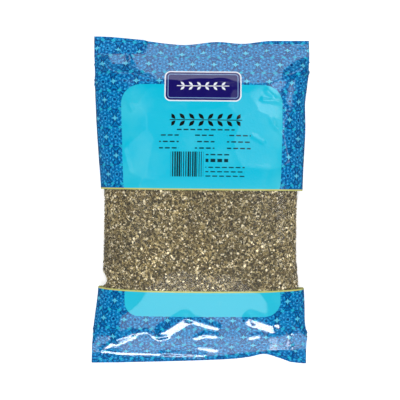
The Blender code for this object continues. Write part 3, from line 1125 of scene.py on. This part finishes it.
# %% The core of the filling
CORE_INSET = 2.2
CORE_MARGIN = 2.6
RIGHT_SIDE_MORE = 1.6
CORE_ENDS = (-128.0, 120.0)
CREASE_REACH = 20.0
EMPTY_SPOT = (-104.0, -79.5)
EMPTY_SPOT_REACH = 11.0
EMPTY_SPOT_DEPTH = 5.0
CORE_THINNEST = 0.4


def crease_share(points):
    """1 at the side creases, falling to 0 a little way in from them."""
    left, right = points[0, :, 0], points[points.shape[0] // 2, :, 0]
    away = np.minimum(points[..., 0] - left, right - points[..., 0])
    return 1 - eased(away / CREASE_REACH)


def spot_share(points):
    """1 at the corner by the window that no parsley fills."""
    gap = np.hypot(points[..., 0] - EMPTY_SPOT[0], points[..., 1] - EMPTY_SPOT[1])
    return 1 - eased(gap / EMPTY_SPOT_REACH)


def inset_film(depth, margin):
    """The film moved inwards by depth, and by margin more at the side creases."""
    inward = film - normals * depth
    centre = (film[0, :, 0] + film[film.shape[0] // 2, :, 0]) / 2
    sideways = np.sign(film[..., 0] - centre)
    margin = np.where(sideways > 0, RIGHT_SIDE_MORE * margin, margin)
    inward[..., 0] -= sideways * (margin * crease_share(film) + EMPTY_SPOT_DEPTH * spot_share(film))
    return inward


def core_mesh():
    """A closed body that follows the film from inside."""
    inner = inset_film(CORE_INSET, CORE_MARGIN)[::2, ::2]
    y = film[film.shape[0] // 4, ::2, 1]
    rows = [row for row in range(len(y)) if CORE_ENDS[0] < y[row] < CORE_ENDS[1]]
    inner = inner[:, rows[0]:rows[-1] + 1]
    columns, count, _ = inner.shape
    top = inner[:columns // 2 + 1]
    bottom = np.concatenate([inner[:1], inner[:columns // 2 - 1:-1]])
    top[..., 2] += np.maximum(CORE_THINNEST - (top[..., 2] - bottom[..., 2]), 0) / 2
    mesh = bmesh.new()
    bmesh.ops.create_cone(mesh, cap_ends=True, segments=columns, radius1=1.0, radius2=1.0, depth=2.0)
    uprights = [edge for edge in mesh.edges if abs(edge.verts[0].co.z - edge.verts[1].co.z) > 1]
    bmesh.ops.subdivide_edges(mesh, edges=uprights, cuts=count - 2, use_grid_fill=False)
    for vertex in mesh.verts:
        turn = math.atan2(vertex.co.y, vertex.co.x) / (2 * math.pi)
        column = round(turn * columns) % columns
        row = round((vertex.co.z + 1) / 2 * (count - 1))
        vertex.co = Vector(inner[column, row]) * MM
    for face in mesh.faces:
        face.smooth = len(face.verts) == 4
    bmesh.ops.recalc_face_normals(mesh, faces=mesh.faces)
    return mesh


core = linked_object("parsley_core", core_mesh())
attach(core, "root")
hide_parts("parsley_fill")
print("core faces:", len(core.data.polygons))

# %% [markdown]
# Single bits of leaf and stem
#
# Tens of thousands of bits can't be made one by one. One bent leaf bit is made from a small grid and one
# stem from a three-sided cone; each is doubled again and again until there are enough, which is quick
# because each doubling is one operator. Then every copy gets its own length, width, curl, turn and place
# in one pass over all the vertices, and its own colour in a vertex attribute. The seed is fixed, so the
# same bits fall in the same places each time.

# %% Make the bits
BIT_SEED = 11
LEAF_DOUBLINGS = 14
STEM_DOUBLINGS = 12
MOST_TILT, TILT_SPREAD = math.radians(32), 0.5
BIT_DEPTH = (0.35, 1.9)
BIT_MARGIN = CORE_MARGIN + 0.4
BIT_ROW_SPREAD = 5.0
MOST_CURL = 0.5
RAGGED = 0.17
SHADES = (0.66, 1.5)


def leaf_bit():
    """A flat grid that becomes one bit of leaf."""
    mesh = bmesh.new()
    bmesh.ops.create_grid(mesh, x_segments=2, y_segments=2, size=0.5)
    return mesh


def stem_bit():
    """A three-sided bar that becomes one bit of stem."""
    mesh = bmesh.new()
    bmesh.ops.create_cone(mesh, cap_ends=True, segments=3, radius1=0.5, radius2=0.4, depth=1.0,
                          matrix=Matrix.Rotation(math.pi / 2, 4, "Y"))
    return mesh


def doubled(mesh, times):
    """The mesh with its one shape repeated two to the power of times, each copy with its own number."""
    number = mesh.verts.layers.int.new("bit_number")
    for step in range(times):
        made = bmesh.ops.duplicate(mesh, geom=mesh.verts[:] + mesh.edges[:] + mesh.faces[:])
        for item in made["geom"]:
            if isinstance(item, bmesh.types.BMVert):
                item[number] += 2 ** step
    return mesh


# %% Shape, place and colour of every bit
def bit_shapes(piece, count, leafy, sizes, random):
    """Which bit each vertex belongs to, where it is within its bit, and how long every bit is."""
    points = len(piece.data.vertices)
    owner = np.empty(points, dtype=np.int32)
    piece.data.attributes["bit_number"].data.foreach_get("value", owner)
    piece.data.attributes.remove(piece.data.attributes["bit_number"])
    shape = np.empty(3 * points, dtype=np.float32)
    piece.data.vertices.foreach_get("co", shape)
    shape = shape.reshape(-1, 3).astype(float)
    length = random.uniform(*sizes[0], count)
    width = length * random.uniform(*sizes[1], count)
    if leafy:
        curl, fold = (random.uniform(-MOST_CURL, MOST_CURL, count)[owner] for _ in range(2))
        shape[:, 2] = curl * shape[:, 0] ** 2 + fold * np.abs(shape[:, 1])
        shape[:, :2] += random.uniform(-RAGGED, RAGGED, (points, 2))
    return owner, shape * np.stack([length, width, width], axis=1)[owner], length


def bit_places(count, front, length, random):
    """Where every bit lies under the film, and its directions: along it, across it, and out of its face."""
    low_row, high_row = window_rows
    half = film.shape[0] // 2
    row = random.uniform(low_row - BIT_ROW_SPREAD, high_row + BIT_ROW_SPREAD, count)
    column = random.uniform(0.5, half - 0.5, count) + (0 if front else half)
    tilt = np.minimum(np.abs(random.normal(0, TILT_SPREAD, count)), 1) * MOST_TILT
    depth = random.uniform(*BIT_DEPTH, count) + 0.5 * length * np.sin(tilt)
    up = on_film(normals, column, row)
    up /= np.linalg.norm(up, axis=1, keepdims=True)
    place = on_film(film, column, row) - up * depth[:, None]
    share = on_film(np.stack([crease_share(film), spot_share(film)], axis=2), column, row)
    centre = on_film(((film[:1] + film[half:half + 1]) / 2).repeat(film.shape[0], axis=0), column, row)[:, 0]
    sideways = np.sign(place[:, 0] - centre)
    margin = BIT_MARGIN * np.where(sideways > 0, RIGHT_SIDE_MORE, 1)
    place[:, 0] -= sideways * (margin * share[:, 0] + EMPTY_SPOT_DEPTH * share[:, 1])
    level = np.cross(up, random.normal(size=(count, 3)))
    level /= np.linalg.norm(level, axis=1, keepdims=True)
    across = np.cross(up, level)
    leaned = level * np.cos(tilt)[:, None] + up * np.sin(tilt)[:, None]
    return place, leaned, across, np.cross(leaned, across)


def scattered(name, template, doublings, front, sizes, colours, random):
    """Many copies of one bit, each with its own size, place and colour."""
    count = 2 ** doublings
    leafy = len(template.faces) == 4
    piece = linked_object(name, doubled(template, doublings))
    owner, shape, length = bit_shapes(piece, count, leafy, sizes, random)
    place, along, across, out = (table[owner] for table in bit_places(count, front, length, random))
    turned = shape[:, :1] * along + shape[:, 1:2] * across + shape[:, 2:] * out
    piece.data.vertices.foreach_set("co", ((turned + place) * MM).ravel())
    picks = random.choice(len(colours), count, p=[weight for _, weight in colours])
    shades = np.array([ink(code) for code, _ in colours])[picks] * random.uniform(*SHADES, (count, 1))
    colour = np.ones((len(owner), 4))
    colour[:, :3] = shades[owner]
    attribute = piece.data.color_attributes.new("bit_colour", "FLOAT_COLOR", "POINT")
    attribute.data.foreach_set("color", colour.ravel())
    piece.data.update()
    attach(piece, "root")
    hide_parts("parsley_fill")
    return piece


# %% Scatter them
# Each kind: its template, its doublings, its lengths and relative widths, and its colours with their shares.
LEAF_COLOURS = [("332A15", 0.20), ("4F4224", 0.19), ("6D5D36", 0.20), ("8F7E4E", 0.17), ("B9A97C", 0.14),
                ("EEE2C0", 0.10)]
STEM_COLOURS = [("BAA97A", 0.4), ("DDCD9E", 0.35), ("8B7A4D", 0.25)]
KINDS = {
    "leaf_bits_": (leaf_bit, LEAF_DOUBLINGS, ((1.1, 2.6), (0.45, 0.9)), LEAF_COLOURS),
    "stem_bits_": (stem_bit, STEM_DOUBLINGS, ((1.6, 4.0), (0.12, 0.2)), STEM_COLOURS),
}
random = np.random.default_rng(BIT_SEED)
bits = []
for side, is_front in (("front", True), ("back", False)):
    for kind, (template, doublings, sizes, colours) in KINDS.items():
        bits.append(scattered(kind + side, template(), doublings, is_front, sizes, colours, random))
for piece in bits:
    print(piece.name, "faces:", len(piece.data.polygons))

# %% [markdown]
# The finishes of the parsley
#
# Dried leaf is dull, so it is nearly all roughness. Each bit's colour comes from its attribute. A fine noise
# varies it inside the bit, and a broad one from place to place, as in leaf from many plants. The core takes
# the darkest of those colours, since it is only seen as the shade between the bits.

# %% Leaf and core finishes
LEAF_ROUGHNESS, CORE_ROUGHNESS = 0.85, 0.9
GRAIN_SCALE, GRAIN_SHARE = 1600.0, 0.6
PATCH_SCALE, PATCH_SHARE = 32.0, 1.4
TONE_LEAST = 0.08
CORE_GRAIN = 700.0
CORE_BUMP = (0.8, 0.0008)


def leaf_finish():
    """Dull dried leaf with each bit's own colour."""
    recipe = Recipe("dried_leaf", LEAF_ROUGHNESS)
    attribute = recipe.tree.nodes.new("ShaderNodeAttribute")
    attribute.attribute_name = "bit_colour"
    grain = recipe.noise(recipe.object_place(), GRAIN_SCALE, 2.0)
    patches = recipe.noise(recipe.object_place(), PATCH_SCALE, 2.0)
    patches = recipe.math("MULTIPLY_ADD", patches, PATCH_SHARE, TONE_LEAST)
    scale = recipe.tree.nodes.new("ShaderNodeVectorMath")
    scale.operation = "SCALE"
    recipe.join(attribute.outputs["Color"], scale.inputs[0])
    recipe.join(recipe.math("MULTIPLY_ADD", grain, GRAIN_SHARE, patches), scale.inputs["Scale"])
    recipe.join(scale.outputs[0], recipe.shader.inputs["Base Color"])
    return recipe.material


def core_finish():
    """Shaded mass of leaf between the outer bits."""
    recipe = Recipe("parsley_mass", CORE_ROUGHNESS)
    coarse = recipe.noise(recipe.object_place(), CORE_GRAIN, 3.0, 0.7)
    colour = recipe.mix(recipe.above(coarse, 0.5, 0.2), ink("2C2918"), ink("5E5839"))
    recipe.join(colour, recipe.shader.inputs["Base Color"])
    recipe.bump(coarse, *CORE_BUMP)
    return recipe.material


leaf_material = leaf_finish()
for piece in bits:
    piece.data.materials.append(leaf_material)
core.data.materials.append(core_finish())
print("finishes:", leaf_material.name, core.data.materials[0].name)
